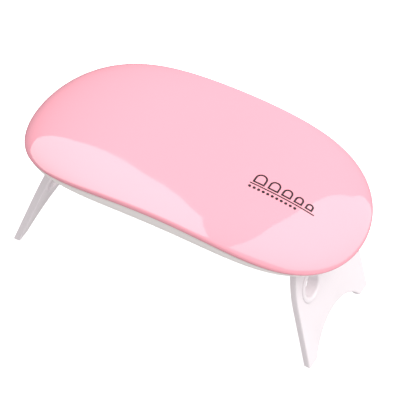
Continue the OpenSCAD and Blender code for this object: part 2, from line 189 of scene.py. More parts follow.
def crown_height(x_rim, rho, inset, lift):
    """Height of the cover over the fraction rho of an outline point whose x is x_rim."""
    base = rim_z(x_rim) + lift
    return base + (TOP_Z - inset - base) * max(0.0, 1.0 - rho ** CROWN_POWER) ** CROWN_ROUND


def cover_height(x, y):
    """Height of the cover's outer face over the point x, y."""
    low, high = 1e-4, 1.0
    for _ in range(40):
        rho = (low + high) / 2
        reach = (abs(x) / HALF_X / rho) ** OUTLINE_POWER + (y / HALF_Y / rho) ** 2
        low, high = (rho, high) if reach > 1 else (low, rho)
    x_rim = max(-HALF_X, min(HALF_X, x / rho))
    return crown_height(x_rim, rho, 0.0, edge_lift(x_rim))


def leg_half(down):
    """Half width of a leg at a distance down from its hinge."""
    straight = LEG_TOP_HALF + (LEG_FOOT_HALF - LEG_TOP_HALF) * down / LEG_LENGTH
    return straight - max(0.0, SHOULDER_END - down) ** 2 / (2 * SHOULDER_RADIUS)


def around(count=AROUND):
    return [2 * math.pi * i / count for i in range(count)]


def crown_ring(rho, inset):
    ring = []
    for t in around():
        x, y = plan_point(t, inset)
        ring.append((x * rho, y * rho, crown_height(x, rho, inset, 0.0)))
    return ring


def rim_ring(inset, rise):
    ring = []
    for t in around():
        x, y = plan_point(t, inset)
        ring.append((x, y, rim_z(x) + rise))
    return ring


def side_ring(turn, inset, lift, drop):
    """Ring of the housing side: turn 0 is the rim, a quarter turn the underside."""
    ring = []
    for t in around():
        x, y = plan_point(t, inset + SIDE_CURVE * (1 - math.cos(turn)))
        low = low_z(x) + lift
        high = max(rim_z(x) - drop, low + CLEAR)
        ring.append((x, y, high + (low - high) * math.sin(turn)))
    return ring


def eased(k, n, power):
    """Fraction of an outline for step k of n, closer together near the rim."""
    return 1 - 0.99 * (k / n) ** power


# ---------------------------------------------------------------- mesh helpers

def new_object(name, mesh):
    obj = bpy.data.objects.new(name, mesh)
    scene.collection.objects.link(obj)
    return obj


def object_from_bmesh(name, bm):
    bmesh.ops.recalc_face_normals(bm, faces=bm.faces[:])
    mesh = bpy.data.meshes.new(name)
    bm.to_mesh(mesh)
    bm.free()
    return new_object(name, mesh)


def loft_into(bm, rings):
    """Closed solid through rings of points, lowest first; the ends are strips across Y."""
    rows = [[bm.verts.new([v * MM for v in p]) for p in ring] for ring in rings]
    n = len(rows[0])
    for low, high in zip(rows, rows[1:]):
        for i in range(n):
            j = (i + 1) % n
            bm.faces.new((low[i], low[j], high[j], high[i]))
    for row in (rows[0], rows[-1]):
        bm.faces.new((row[0], row[1], row[n - 1]))
        bm.faces.new((row[n // 2 - 1], row[n // 2], row[n // 2 + 1]))
        for i in range(1, n // 2 - 1):
            bm.faces.new((row[i], row[i + 1], row[n - i - 1], row[n - i]))


def loft(name, rings):
    bm = bmesh.new()
    loft_into(bm, rings)
    return object_from_bmesh(name, bm)


def block(name, low, high):
    bm = bmesh.new()
    bmesh.ops.create_cube(bm, size=1.0)
    for v in bm.verts:
        v.co = [MM * (a + (b - a) * (c + 0.5)) for a, b, c in zip(low, high, v.co)]
    return object_from_bmesh(name, bm)


def rod(name, radius, start, end, segments=64):
    """Solid cylinder between two points."""
    start = Vector(start) * MM
    end = Vector(end) * MM
    bm = bmesh.new()
    bmesh.ops.create_cone(bm, cap_ends=True, segments=segments, radius1=radius * MM,
                          radius2=radius * MM, depth=(end - start).length)
    turn = (end - start).to_track_quat("Z", "Y").to_matrix().to_4x4()
    bmesh.ops.transform(bm, matrix=Matrix.Translation((start + end) / 2) @ turn, verts=bm.verts)
    return object_from_bmesh(name, bm)


def rounded_outline(width, height, corner, steps=12):
    """Points of a rectangle with round corners, centred on the origin."""
    points = []
    for quarter, (sx, sy) in enumerate(((1, 1), (-1, 1), (-1, -1), (1, -1))):
        for k in range(steps + 1):
            a = math.pi / 2 * (quarter + k / steps)
            points.append((sx * (width / 2 - corner) + corner * math.cos(a),
                           sy * (height / 2 - corner) + corner * math.sin(a)))
    return points


def plate_object(name, outlines, thickness, edge, steps=4):
    """Flat plate with rounded edges from closed outlines; inner outlines are holes."""
    curve = bpy.data.curves.new(name, "CURVE")
    curve.dimensions = "2D"
    curve.fill_mode = "BOTH"
    curve.extrude = (thickness / 2 - edge) * MM
    curve.bevel_depth = edge * MM
    curve.bevel_resolution = steps
    curve.offset = -edge * MM
    for outline in outlines:
        spline = curve.splines.new("POLY")
        spline.points.add(len(outline) - 1)
        for point, (x, y) in zip(spline.points, outline):
            point.co = (x * MM, y * MM, 0, 1)
        spline.use_cyclic_u = True
    source = new_object(name + "_curve", curve)
    mesh = mesh_of(source)
    bpy.data.objects.remove(source)
    bm = bmesh.new()
    bm.from_mesh(mesh)
    bmesh.ops.remove_doubles(bm, verts=bm.verts, dist=0.004 * MM)
    return object_from_bmesh(name, bm)


def mesh_of(obj):
    """The object's mesh with its modifiers applied."""
    graph = bpy.context.evaluated_depsgraph_get()
    graph.update()
    return bpy.data.meshes.new_from_object(obj.evaluated_get(graph))


def combine(obj, others, operation):
    """Joins other solids to obj, or cuts them out of it, and deletes them."""
    for other in others:
        step = obj.modifiers.new("combine", "BOOLEAN")
        step.operation = operation
        step.solver = "EXACT"
        step.object = other
        mesh = mesh_of(obj)
        obj.modifiers.remove(step)
        obj.data = mesh
        bpy.data.objects.remove(other)
    return obj


def shade(obj, limit=32):
    """Smooth faces, with edges sharper than the limit kept crisp."""
    bm = bmesh.new()
    bm.from_mesh(obj.data)
    bmesh.ops.dissolve_degenerate(bm, edges=bm.edges[:], dist=0.0005 * MM)
    for face in bm.faces:
        face.smooth = True
    for edge in bm.edges:
        edge.smooth = len(edge.link_faces) == 2 and edge.calc_face_angle() < math.radians(limit)
    bm.to_mesh(obj.data)
    bm.free()
    return obj


def place(obj, body, slot, finish, *replaced):
    """Gives a finished piece its material and body and hides the CAD nodes it stands for; the slot
    is not used.
    """
    obj.data.materials.clear()
    obj.data.materials.append(finish)
    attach(obj, body)
    if replaced:
        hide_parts(*replaced)
    return obj


# ---------------------------------------------------------------- materials

def material(name, color, roughness, **sockets):
    """Principled material; other sockets are given by name with underscores for spaces."""
    mat = bpy.data.materials.new(name)
    mat.use_nodes = True
    shader = mat.node_tree.nodes["Principled BSDF"]
    shader.inputs["Base Color"].default_value = (*color, 1)
    shader.inputs["Roughness"].default_value = roughness
    for key, value in sockets.items():
        shader.inputs[key.replace("_", " ")].default_value = value
    return mat


def link(mat, source, output, target, socket):
    mat.node_tree.links.new(source.outputs[output], target.inputs[socket])


def noise(mat, scale, detail=3.0):
    """Noise in object space; scale is in features a metre."""
    tree = mat.node_tree
    place_node = tree.nodes.new("ShaderNodeTexCoord")
    texture = tree.nodes.new("ShaderNodeTexNoise")
    texture.inputs["Scale"].default_value = scale
    texture.inputs["Detail"].default_value = detail
    link(mat, place_node, "Object", texture, "Vector")
    return texture


def vary_color(mat, color, other, scale, low=0.35, high=0.65):
    """Base colour that drifts between two tones."""
    texture = noise(mat, scale)
    ramp = mat.node_tree.nodes.new("ShaderNodeValToRGB")
    ramp.color_ramp.elements[0].position = low
    ramp.color_ramp.elements[0].color = (*color, 1)
    ramp.color_ramp.elements[1].position = high
    ramp.color_ramp.elements[1].color = (*other, 1)
    link(mat, texture, "Fac", ramp, "Fac")
    link(mat, ramp, "Color", mat.node_tree.nodes["Principled BSDF"], "Base Color")


def vary_roughness(mat, low, high, scale):
    texture = noise(mat, scale)
    spread = mat.node_tree.nodes.new("ShaderNodeMapRange")
    spread.inputs["From Min"].default_value = 0.3
    spread.inputs["From Max"].default_value = 0.7
    spread.inputs["To Min"].default_value = low
    spread.inputs["To Max"].default_value = high
    link(mat, texture, "Fac", spread, "Value")
    link(mat, spread, "Result", mat.node_tree.nodes["Principled BSDF"], "Roughness")


def add_bump(mat, scale, height, detail=2.0, soft_edge=0.0):
    """Surface grain, over edges softened by soft_edge millimetres."""
    tree = mat.node_tree
    bump = tree.nodes.new("ShaderNodeBump")
    bump.inputs["Strength"].default_value = 1.0
    bump.inputs["Distance"].default_value = height * MM
    link(mat, noise(mat, scale, detail), "Fac", bump, "Height")
    if soft_edge:
        bevel = tree.nodes.new("ShaderNodeBevel")
        bevel.inputs["Radius"].default_value = soft_edge * MM
        link(mat, bevel, "Normal", bump, "Normal")
    link(mat, bump, "Normal", tree.nodes["Principled BSDF"], "Normal")


def pink_gloss():
    mat = material("pink_gloss", (0.89, 0.391, 0.465), 0.05, IOR=1.7)
    vary_color(mat, (0.885, 0.387, 0.46), (0.895, 0.395, 0.47), 14)
    vary_roughness(mat, 0.035, 0.06, 60)
    add_bump(mat, 90, 0.002)
    return mat


def satin_white(name, color, other, soft_edge):
    mat = material(name, color, 0.4, IOR=1.47, Specular_IOR_Level=0.3)
    vary_color(mat, color, other, 30)
    vary_roughness(mat, 0.32, 0.46, 160)
    add_bump(mat, 2600, 0.004, soft_edge=soft_edge)
    return mat


def metal(name, color, low, high, scale=400, grain=0.004):
    mat = material(name, color, low, Metallic=1.0)
    vary_color(mat, color, [c * 0.88 for c in color], scale / 2)
    vary_roughness(mat, low, high, scale)
    add_bump(mat, scale * 4, grain)
    return mat


def moulded(name, color, other, low, high, soft_edge=0.1):
    mat = material(name, color, low)
    vary_color(mat, color, other, 500)
    vary_roughness(mat, low, high, 600)
    add_bump(mat, 4000, 0.004, soft_edge=soft_edge)
    return mat


PINK = pink_gloss()
HOUSING_WHITE = satin_white("housing_white", (0.93, 0.88, 0.86), (0.94, 0.89, 0.87), 0.15)
LEG_WHITE = satin_white("leg_white", (0.835, 0.775, 0.80), (0.845, 0.785, 0.81), 0.12)
STEEL = metal("plated_steel", (0.62, 0.62, 0.64), 0.22, 0.38)
REFLECTOR = metal("bright_reflector", (0.86, 0.87, 0.89), 0.06, 0.14)
LIGHT_BOARD = moulded("light_board_mask", (0.83, 0.84, 0.82), (0.78, 0.79, 0.77), 0.3, 0.45)
GREEN_BOARD = moulded("green_board_mask", (0.02, 0.17, 0.07), (0.03, 0.22, 0.09), 0.25, 0.4)
PACKAGE = moulded("lamp_package", (0.82, 0.80, 0.70), (0.74, 0.72, 0.60), 0.35, 0.5)
GOLD = metal("contact_gold", (0.86, 0.62, 0.24), 0.2, 0.3)
BLACK = moulded("black_plastic", (0.022, 0.022, 0.025), (0.035, 0.035, 0.038), 0.38, 0.55)
NYLON = moulded("natural_nylon", (0.78, 0.75, 0.68), (0.72, 0.69, 0.62), 0.4, 0.55)
FERRITE = moulded("coated_ferrite", (0.05, 0.05, 0.055), (0.09, 0.09, 0.095), 0.45, 0.65)
FIRED = moulded("fired_ceramic", (0.42, 0.30, 0.18), (0.36, 0.25, 0.15), 0.4, 0.6)
RED_COVERING = moulded("red_insulation", (0.55, 0.02, 0.02), (0.45, 0.015, 0.015), 0.35, 0.5)
BLACK_COVERING = moulded("black_insulation", (0.018, 0.018, 0.018), (0.03, 0.03, 0.03), 0.35, 0.5)
INK = moulded("print_ink", (0.022, 0.012, 0.018), (0.035, 0.02, 0.028), 0.3, 0.42, 0.0)


def lens_material():
    mat = material("lamp_lens", (0.9, 0.86, 0.5), 0.05, IOR=1.45)
    mat.node_tree.nodes["Principled BSDF"].inputs["Transmission Weight"].default_value = 0.7
    vary_roughness(mat, 0.03, 0.08, 900)
    add_bump(mat, 1500, 0.002)
    return mat


# ---------------------------------------------------------------- cover and housing

def cover_rib():
    """Locating rib under the long sides of the cover, standing down into the housing."""
    def wall_ring(inset, under):
        ring = []
        for t in around():
            x, y = plan_point(t, inset)
            ring.append((x, y, cover_height(x, y) - under))
        return ring

    rib = loft("rib", [rim_ring(RIB_INSET, -RIB_DEPTH), wall_ring(RIB_INSET, COVER_WALL / 2)])
    inset = RIB_INSET + RIB_WIDTH
    core = loft("core", [rim_ring(inset, -RIB_DEPTH - 1), wall_ring(inset, -3.0)])
    ends = [block("end", (min(side * RIB_HALF_X, side * 90), -60, 0),
                  (max(side * RIB_HALF_X, side * 90), 60, 90)) for side in (-1, 1)]
    button = block("gap", (button_low[0] - 1, HALF_Y - 6, 0), (button_high[0] + 1, HALF_Y, 90))
    return combine(rib, [core, button] + ends, "DIFFERENCE")


def cover_edge(t):
    """Where the rounded edge meets the crown at outline angle t: its inset and centre height."""
    best = None
    tries = 25
    for k in range(1, tries + 1):
        inset = EDGE_RADIUS * k / tries
        x, y = plan_point(t, inset)
        reach = math.sqrt(EDGE_RADIUS ** 2 - (EDGE_RADIUS - inset) ** 2)
        height = cover_height(x, y) - reach
        if best is None or height < best[1]:
            best = (inset, height)
    return best


def cover_rings():
    """Rings of the cover's outside: skirt, lip, rounded edge, then the crown."""
    lip_steps, edge_steps, crown_steps = 6, 10, 40
    columns = []
    for t in around():
        meet, centre = cover_edge(t)
        x, y = plan_point(t, SKIRT_INSET)
        rim = rim_z(plan_point(t, 0.0)[0])
        column = [(x, y, rim - SKIRT_DEPTH), (x, y, centre - LIP_RADIUS)]
        for k in range(lip_steps, 0, -1):
            a = math.pi / 2 * k / lip_steps
            x, y = plan_point(t, LIP_RADIUS * (1 - math.cos(a)))
            column.append((x, y, centre - LIP_RADIUS * math.sin(a)))
        turn = math.acos(1 - meet / EDGE_RADIUS)
        for k in range(edge_steps):
            a = turn * k / edge_steps
            x, y = plan_point(t, EDGE_RADIUS * (1 - math.cos(a)))
            column.append((x, y, centre + EDGE_RADIUS * math.sin(a)))
        x, y = plan_point(t, meet)
        for k in range(crown_steps + 1):
            rho = eased(k, crown_steps, 2.0)
            column.append((x * rho, y * rho, cover_height(x * rho, y * rho)))
        columns.append(column)
    return [list(ring) for ring in zip(*columns)]


def build_cover():
    inner_steps = 16
    inner = [crown_ring(eased(k, inner_steps, 2.3), COVER_WALL)
             for k in range(inner_steps, -1, -1)]
    cover = loft("cover_shell", cover_rings())
    hollow = loft("hollow", list(reversed(inner + [rim_ring(COVER_WALL, -3.0)])))
    combine(cover, [hollow], "DIFFERENCE")
    posts, bores = [cover_rib()], []
    for x, y in case_screw_places():
        posts.append(rod("post", CASE_BOSS - CLEAR, (x, y, CASE_JOINT_Z),
                         (x, y, cover_height(x, y) - COVER_WALL / 2)))
        bores.append(rod("bore", CASE_BORE, (x, y, CASE_JOINT_Z - 1), (x, y, case_high[2] + 0.2)))
    combine(cover, posts, "UNION")
    combine(cover, bores, "DIFFERENCE")
    shade(cover, 40)
    return place(cover, "shell", "cover_pink", PINK, "top_cover")


def case_screw_places():
    return [(sx * CASE_SCREW_X, sy * CASE_SCREW_Y) for sx in (-1, 1) for sy in (-1, 1)]


def board_post_places():
    xs = (post_low[0] + SMALL_HEAD, post_high[0] - SMALL_HEAD)
    ys = (post_low[1] + SMALL_HEAD, post_high[1] - SMALL_HEAD)
    return [(x, y) for x in xs for y in ys]


def side_rings(inset, lift, drop, steps):
    """Rings of the housing side from the underside up to the rim."""
    return [side_ring(math.pi / 2 * k / steps, inset, lift, drop) for k in range(steps, -1, -1)]


def plate_block(name, x, y, corner, low, high):
    """Upright prism of a rounded rectangle."""
    bm = bmesh.new()
    outline = rounded_outline(x, y, corner)
    base = [bm.verts.new((px * MM, py * MM, low * MM)) for px, py in outline]
    face = bm.faces.new(base)
    grown = bmesh.ops.extrude_face_region(bm, geom=[face])
    for v in grown["geom"]:
        if isinstance(v, bmesh.types.BMVert):
            v.co.z = high * MM
    return object_from_bmesh(name, bm)


def pill_along_y(name, x, z, width, height, front, rear):
    """Stadium-shaped bar along Y."""
    bar = plate_block(name, width, height, height / 2 - 0.01, front, rear)
    bar.data.transform(Matrix.Translation(Vector((x, 0, z)) * MM)
                       @ Matrix.Rotation(-math.pi / 2, 4, "X"))
    return bar


def ear(side, sy):
    """Hinge ear under the pocket roof, rounded about the pin."""
    y = sy * EAR_SIDE
    top = HINGE_Z + KNUCKLE + CLEAR + 0.5
    x = side * HINGE_X
    body = block("ear", (x - KNUCKLE, y - EAR_WIDTH / 2, HINGE_Z),
                 (x + KNUCKLE, y + EAR_WIDTH / 2, top))
    knuckle = rod("ear_knuckle", KNUCKLE, (x, y - EAR_WIDTH / 2, HINGE_Z),
                  (x, y + EAR_WIDTH / 2, HINGE_Z))
    return combine(body, [knuckle], "UNION")


def build_housing():
    housing = loft("housing_shell", side_rings(OVERHANG, 0.0, PARTING_GAP, 24))
    inset = OVERHANG + HOUSING_WALL
    level = [(x, y, TOP_Z + OVERRUN) for x, y, _ in rim_ring(inset, 0.0)]
    hollow = loft("hollow", side_rings(inset, UNDERSIDE_WALL, 0.0, 10) + [level])
    pocket_half = leg_half(8.0) + 2 * CLEAR
    cutters = [hollow]
    for side in (-1, 1):
        xs = sorted((side * (HINGE_X - POCKET_INWARD), side * (HINGE_X + POCKET_OUTWARD)))
        cutters.append(block("pocket", (xs[0], -pocket_half, 0),
                             (xs[1], pocket_half, HINGE_Z + KNUCKLE + CLEAR)))
    combine(housing, cutters, "DIFFERENCE")

    base = FLOOR_Z - 1.4
    stands = [ear(side, sy) for side in (-1, 1) for sy in (-1, 1)]
    for x, y in case_screw_places():
        stands.append(rod("boss", CASE_BOSS, (x, y, base), (x, y, CASE_JOINT_Z)))
    for x, y in board_post_places():
        stands.append(rod("post", BOARD_POST, (x, y, base), (x, y, board_low[2])))
    combine(housing, stands, "UNION")

    cutters = [plate_block("window", WINDOW_X, WINDOW_Y, WINDOW_CORNER,
                           UNDERSIDE_Z - OVERRUN, UNDERSIDE_Z + WINDOW_CUT)]
    for x, y in case_screw_places():
        below = (x, y, CASE_SEAT_Z - OVERRUN)
        cutters.append(rod("seat", CASE_SEAT, below, (x, y, CASE_SEAT_Z)))
        cutters.append(rod("screw_way", CASE_WAY, below, (x, y, TOP_Z)))
    for x, y in board_post_places():
        cutters.append(rod("pilot", SMALL_BORE, (x, y, board_low[2] - 3), (x, y, TOP_Z)))
    for side in (-1, 1):
        x = side * HINGE_X
        cutters.append(rod("pin_way", PIN_RADIUS, (x, -EAR_SIDE - EAR_WIDTH, HINGE_Z),
                           (x, EAR_SIDE + EAR_WIDTH, HINGE_Z)))
    rear = board_high[1]
    outside = rear + PORT_CUT
    cutters.append(block("socket_way", (socket_low[0] - CLEAR, rear, socket_low[2] - CLEAR),
                         (socket_high[0] + CLEAR, outside, socket_high[2] + CLEAR)))
    cutters.append(pill_along_y("button_way", BUTTON_X, BUTTON_Z, BUTTON_WIDTH + 2 * CLEAR,
                                BUTTON_HEIGHT + 2 * CLEAR, rear, outside))
    flange_rear = button_low[1] + FLANGE_THICK + CLEAR
    cutters.append(block("flange_way",
                         (button_low[0] - CLEAR, flange_rear - 6, button_low[2] - CLEAR),
                         (button_high[0] + CLEAR, flange_rear, button_high[2] + CLEAR)))
    combine(housing, cutters, "DIFFERENCE")
    shade(housing)
    return place(housing, "shell", "housing_white", HOUSING_WHITE, "bottom_housing")


def build_button():
    """Power button: a stadium cap with a soft rim on a wider flange."""
    length = button_high[1] - button_low[1]
    flange = pill_along_y("power_button_cap", BUTTON_X, BUTTON_Z, button_high[0] - button_low[0],
                          button_high[2] - button_low[2], button_low[1],
                          button_low[1] + FLANGE_THICK)
    outline = rounded_outline(BUTTON_WIDTH, BUTTON_HEIGHT, BUTTON_HEIGHT / 2 - 0.01)
    cap = plate_object("cap", [outline], length, 0.35)
    middle = button_low[1] + length / 2
    cap.data.transform(Matrix.Translation(Vector((BUTTON_X, middle, BUTTON_Z)) * MM)
                       @ Matrix.Rotation(-math.pi / 2, 4, "X"))
    combine(flange, [cap], "UNION")
    shade(flange)
    return place(flange, "button", "button_white", HOUSING_WHITE, "power_button")


# ---------------------------------------------------------------- print on the cover

PRINT_HEIGHT = 0.03
PRINT_SINK = 0.05
STROKE = 0.7
RULE_Y = -5.0
RULE_START = 23.2
RULE_END = 49.5
RULE_HALF = 0.26
NAILS = ((4.8, 5.0), (4.4, 4.6), (3.9, 4.1), (3.4, 3.6), (3.0, 3.1))
NAIL_START = RULE_START + 0.6
NAIL_GAP = 1.2
NAIL_Y = RULE_Y + 0.8
DOTS = 11
DOT_START = RULE_START + 0.7
DOT_PITCH = 1.85
DOT_RADIUS = 0.6
DOT_Y = RULE_Y - 1.6


def print_band(bm, outer, inner):
    """Thin closed band of ink on the cover between two outlines of the same count."""
    rows = []
    for lift in (-PRINT_SINK, PRINT_HEIGHT):
        for outline in (outer, inner):
            rows.append([bm.verts.new((x * MM, y * MM, (cover_height(x, y) + lift) * MM))
                         for x, y in outline])
    low_outer, low_inner, top_outer, top_inner = rows
    n = len(outer)
    for i in range(n):
        j = (i + 1) % n
        bm.faces.new((top_outer[i], top_outer[j], top_inner[j], top_inner[i]))
        bm.faces.new((low_outer[j], low_outer[i], low_inner[i], low_inner[j]))
        bm.faces.new((low_outer[i], low_outer[j], top_outer[j], top_outer[i]))
        bm.faces.new((low_inner[j], low_inner[i], top_inner[i], top_inner[j]))


def print_patch(bm, outline):
    """Thin closed patch of ink inside a convex outline."""
    low = [bm.verts.new((x * MM, y * MM, (cover_height(x, y) - PRINT_SINK) * MM))
           for x, y in outline]
    top = [bm.verts.new((x * MM, y * MM, (cover_height(x, y) + PRINT_HEIGHT) * MM))
           for x, y in outline]
    bm.faces.new(top)
    bm.faces.new(list(reversed(low)))
    for i in range(len(outline)):
        j = (i + 1) % len(outline)
        bm.faces.new((low[i], low[j], top[j], top[i]))


def circle_outline(x, y, radius, steps):
    return [(x + radius * math.cos(a), y + radius * math.sin(a)) for a in around(steps)]


def nail_outline(x, y, width, height, inset):
    """Fingertip nail seen from above: square below, round above."""
    half = width / 2 - inset
    shoulder = y + height - width / 2
    points = [(x - half, y + inset), (x + half, y + inset)]
    steps = 14
    for k in range(steps + 1):
        a = math.pi * k / steps
        points.append((x + half * math.cos(a), shoulder + half * math.sin(a)))
    return points


def build_print():
    """Five nail shapes above a rule and a row of dots below it."""
    bm = bmesh.new()
    segments = 24
    xs = [RULE_START + (RULE_END - RULE_START) * k / segments for k in range(segments + 1)]
    print_strip(bm, [(x, RULE_Y - RULE_HALF) for x in xs], [(x, RULE_Y + RULE_HALF) for x in xs])
    x = NAIL_START
    for width, height in NAILS:
        middle = x + width / 2
        print_band(bm, nail_outline(middle, NAIL_Y, width, height, 0.0),
                   nail_outline(middle, NAIL_Y, width, height, STROKE))
        x += width + NAIL_GAP
    for k in range(DOTS):
        print_patch(bm, circle_outline(DOT_START + DOT_PITCH * k, DOT_Y, DOT_RADIUS, 20))
    marks = object_from_bmesh("cover_print", bm)
    shade(marks)
    return place(marks, "shell", "black_plastic", INK)


def print_strip(bm, lower, upper):
    """Thin ink strip between two rows of points of the same count."""
    outline_low, outline_top = [], []
    for lift, store in ((-PRINT_SINK, outline_low), (PRINT_HEIGHT, outline_top)):
        for row in (lower, upper):
            store.append([bm.verts.new((x * MM, y * MM, (cover_height(x, y) + lift) * MM))
                          for x, y in row])
    (la, lb), (ta, tb) = outline_low, outline_top
    for i in range(len(lower) - 1):
        bm.faces.new((ta[i], ta[i + 1], tb[i + 1], tb[i]))
        bm.faces.new((la[i + 1], la[i], lb[i], lb[i + 1]))
        bm.faces.new((la[i], la[i + 1], ta[i + 1], ta[i]))
        bm.faces.new((lb[i + 1], lb[i], tb[i], tb[i + 1]))
    bm.faces.new((la[0], ta[0], tb[0], lb[0]))
    bm.faces.new((la[-1], lb[-1], tb[-1], ta[-1]))


# ---------------------------------------------------------------- legs

def leg_outline():
    """Outline of a leg in its own plane: across, and down from the hinge as negative."""
    reach = LEG_LENGTH + 3
    notch = EAR_WIDTH / 2 + CLEAR
    notch_depth = KNUCKLE + 0.5
    right = [(EAR_SIDE - notch, 0), (EAR_SIDE - notch, -notch_depth),
             (EAR_SIDE + notch, -notch_depth), (EAR_SIDE + notch, 0)]
    right += [(leg_half(down), -down) for down in range(int(SHOULDER_END) + 1)]
    right.append((leg_half(reach), -reach))
    half_turn = math.acos((ARCH_CENTRE - reach) / ARCH_RADIUS)
    steps = 48
    arch = []
    for k in range(steps + 1):
        a = half_turn * (1 - 2 * k / steps)
        arch.append((ARCH_RADIUS * math.sin(a), -ARCH_CENTRE + ARCH_RADIUS * math.cos(a)))
    left = [(-x, y) for x, y in reversed(right)]
    return right + arch + left


def turned(name, profile, side):
    """Solid of revolution about the middle of a leg hole; the profile is (radius, height)."""
    bm = bmesh.new()
    rows = []
    for a in around(72):
        rows.append([bm.verts.new(Vector((side * HOLE_SIDE + r * math.cos(a),
                                          -HOLE_DOWN + r * math.sin(a), n)) * MM)
                     for r, n in profile])
    for i, row in enumerate(rows):
        after = rows[(i + 1) % len(rows)]
        for k in range(len(profile)):
            j = (k + 1) % len(profile)
            bm.faces.new((row[k], row[j], after[j], after[k]))
    return object_from_bmesh(name, bm)


def leg_ring(side):
    """Soft raised ring round a hole, on the outer face."""
    base = LEG_TOP_THICK / 2 - ROOT
    foot = base + 0.3
    crest = LEG_TOP_THICK / 2 + RING_HEIGHT
    inner = COLLAR_BORE - BORE_STOCK
    profile = [(inner, base), (inner, foot)]
    steps = 12
    for k in range(steps + 1):
        a = math.pi * (1 - k / steps)
        profile.append((HOLE_RADIUS + RING_WIDTH * (0.5 + 0.5 * math.cos(a)),
                        foot + (crest - foot) * math.sin(a) ** 0.7))
    profile.append((HOLE_RADIUS + RING_WIDTH, base))
    return turned("ring", profile, side)


def leg_collar(side):
    """Collar round a hole, on the inner face."""
    base = -LEG_TOP_THICK / 2 + ROOT
    crest = -LEG_TOP_THICK / 2 - COLLAR_HEIGHT
    outer = HOLE_RADIUS + COLLAR_WALL
    edge = 0.35
    inner = COLLAR_BORE - BORE_STOCK
    profile = [(inner, base), (inner, crest)]
    steps = 5
    for k in range(steps + 1):
        a = math.pi / 2 * k / steps
        profile.append((outer - edge + edge * math.sin(a), crest + edge - edge * math.cos(a)))
    profile.append((outer, base))
    return turned("collar", profile, side)


def hole_bore(side):
    """Drafted bore through ring, leg and collar, narrower on the inner side."""
    top = LEG_TOP_THICK / 2 + RING_HEIGHT
    low = -LEG_TOP_THICK / 2 - COLLAR_HEIGHT
    slope = (HOLE_RADIUS - COLLAR_BORE) / (top - low)
    bore = rod("bore", 1.0, (side * HOLE_SIDE, -HOLE_DOWN, low - 1),
               (side * HOLE_SIDE, -HOLE_DOWN, top + 1), 72)
    for v in bore.data.vertices:
        radius = COLLAR_BORE + slope * (v.co.z / MM - low)
        v.co.x = side * HOLE_SIDE * MM + (v.co.x - side * HOLE_SIDE * MM) * radius
        v.co.y = -HOLE_DOWN * MM + (v.co.y + HOLE_DOWN * MM) * radius
    return bore


def knuckle_spans():
    """Stretches of the hinge barrel between and beside the ears."""
    gap = EAR_WIDTH / 2 + CLEAR
    end = leg_half(0.0)
    yield -end, -EAR_SIDE - gap
    yield -EAR_SIDE + gap, EAR_SIDE - gap
    yield EAR_SIDE + gap, end


def build_leg(side):
    """One leg; side is +1 for the right one. It is shaped in its own plane, then stood up."""
    name = "right_leg" if side > 0 else "left_leg"
    leg = plate_object(name + "_plate", [leg_outline()], LEG_TOP_THICK, LEG_EDGE)
    parts = [leg_ring(sy) for sy in (-1, 1)] + [leg_collar(sy) for sy in (-1, 1)]
    heel_half = leg_half(0.0) - 1
    for low, high in knuckle_spans():
        parts.append(rod("knuckle", KNUCKLE, (low, 0, 0), (high, 0, 0)))
        inner = (max(low, -heel_half), -KNUCKLE, 0)
        outer = (min(high, heel_half), 0.4, HEEL_REACH)
        parts.append(block("heel", inner, outer))
    combine(leg, parts, "UNION")
    combine(leg, [hole_bore(sy) for sy in (-1, 1)], "DIFFERENCE")
    for v in leg.data.vertices:
        down = -v.co.y / MM / LEG_LENGTH
        v.co.z *= 1 + (LEG_FOOT_THICK / LEG_TOP_THICK - 1) * min(1.0, max(0.0, down))
    bore = rod("bore", PIN_RADIUS + 0.05, (-LEG_TOP_HALF - 2, 0, 0), (LEG_TOP_HALF + 2, 0, 0))
    combine(leg, [bore], "DIFFERENCE")
    upright = Matrix(((0, 0, 1, 0), (1, 0, 0, 0), (0, 1, 0, 0), (0, 0, 0, 1)))
    hinge_place = Matrix.Translation(Vector((HINGE_X, 0, HINGE_Z)) * MM)
    leg.data.transform(hinge_place @ Matrix.Rotation(-SPLAY, 4, "Y") @ upright)
    bm = bmesh.new()
    bm.from_mesh(leg.data)
    cut = bmesh.ops.bisect_plane(bm, geom=bm.verts[:] + bm.edges[:] + bm.faces[:],
                                 plane_co=(0, 0, 0), plane_no=(0, 0, -1), clear_outer=True)
    rim = [e for e in cut["geom_cut"] if isinstance(e, bmesh.types.BMEdge)]
    bmesh.ops.edgeloop_fill(bm, edges=rim)
    if side < 0:
        bmesh.ops.scale(bm, vec=(-1, 1, 1), verts=bm.verts)
    bmesh.ops.recalc_face_normals(bm, faces=bm.faces[:])
    bm.to_mesh(leg.data)
    bm.free()
    shade(leg)
    return place(leg, name, "leg_white", LEG_WHITE, name)


# ---------------------------------------------------------------- camera, lights, stage

def camera():
    """Long lens from the front right, above, turned a little about its own axis."""
    azimuth = math.radians(24.11)
    elevation = math.radians(46.79)
    roll = math.radians(5.11)
    distance = 1188.8
    shift_right = 1.62
    shift_up = -0.72
    aim = Vector((0, 0, 35))
    focal_length = 288.144
    back = Vector((math.sin(azimuth) * math.cos(elevation),
                   -math.cos(azimuth) * math.cos(elevation), math.sin(elevation)))
    level = Vector((math.cos(azimuth), math.sin(azimuth), 0))
    up = back.cross(level)
    right = math.cos(roll) * level + math.sin(roll) * up
    up = -math.sin(roll) * level + math.cos(roll) * up
    data = bpy.data.cameras.new("camera")
    data.sensor_width = 36
    data.lens = focal_length
    data.clip_end = 50
    obj = bpy.data.objects.new("camera", data)
    scene.collection.objects.link(obj)
    turn = Matrix((right, up, back)).transposed().to_4x4()
    place_at = (right * shift_right + up * shift_up + aim + back * distance) * MM
    obj.matrix_world = Matrix.Translation(place_at) @ turn
    scene.camera = obj


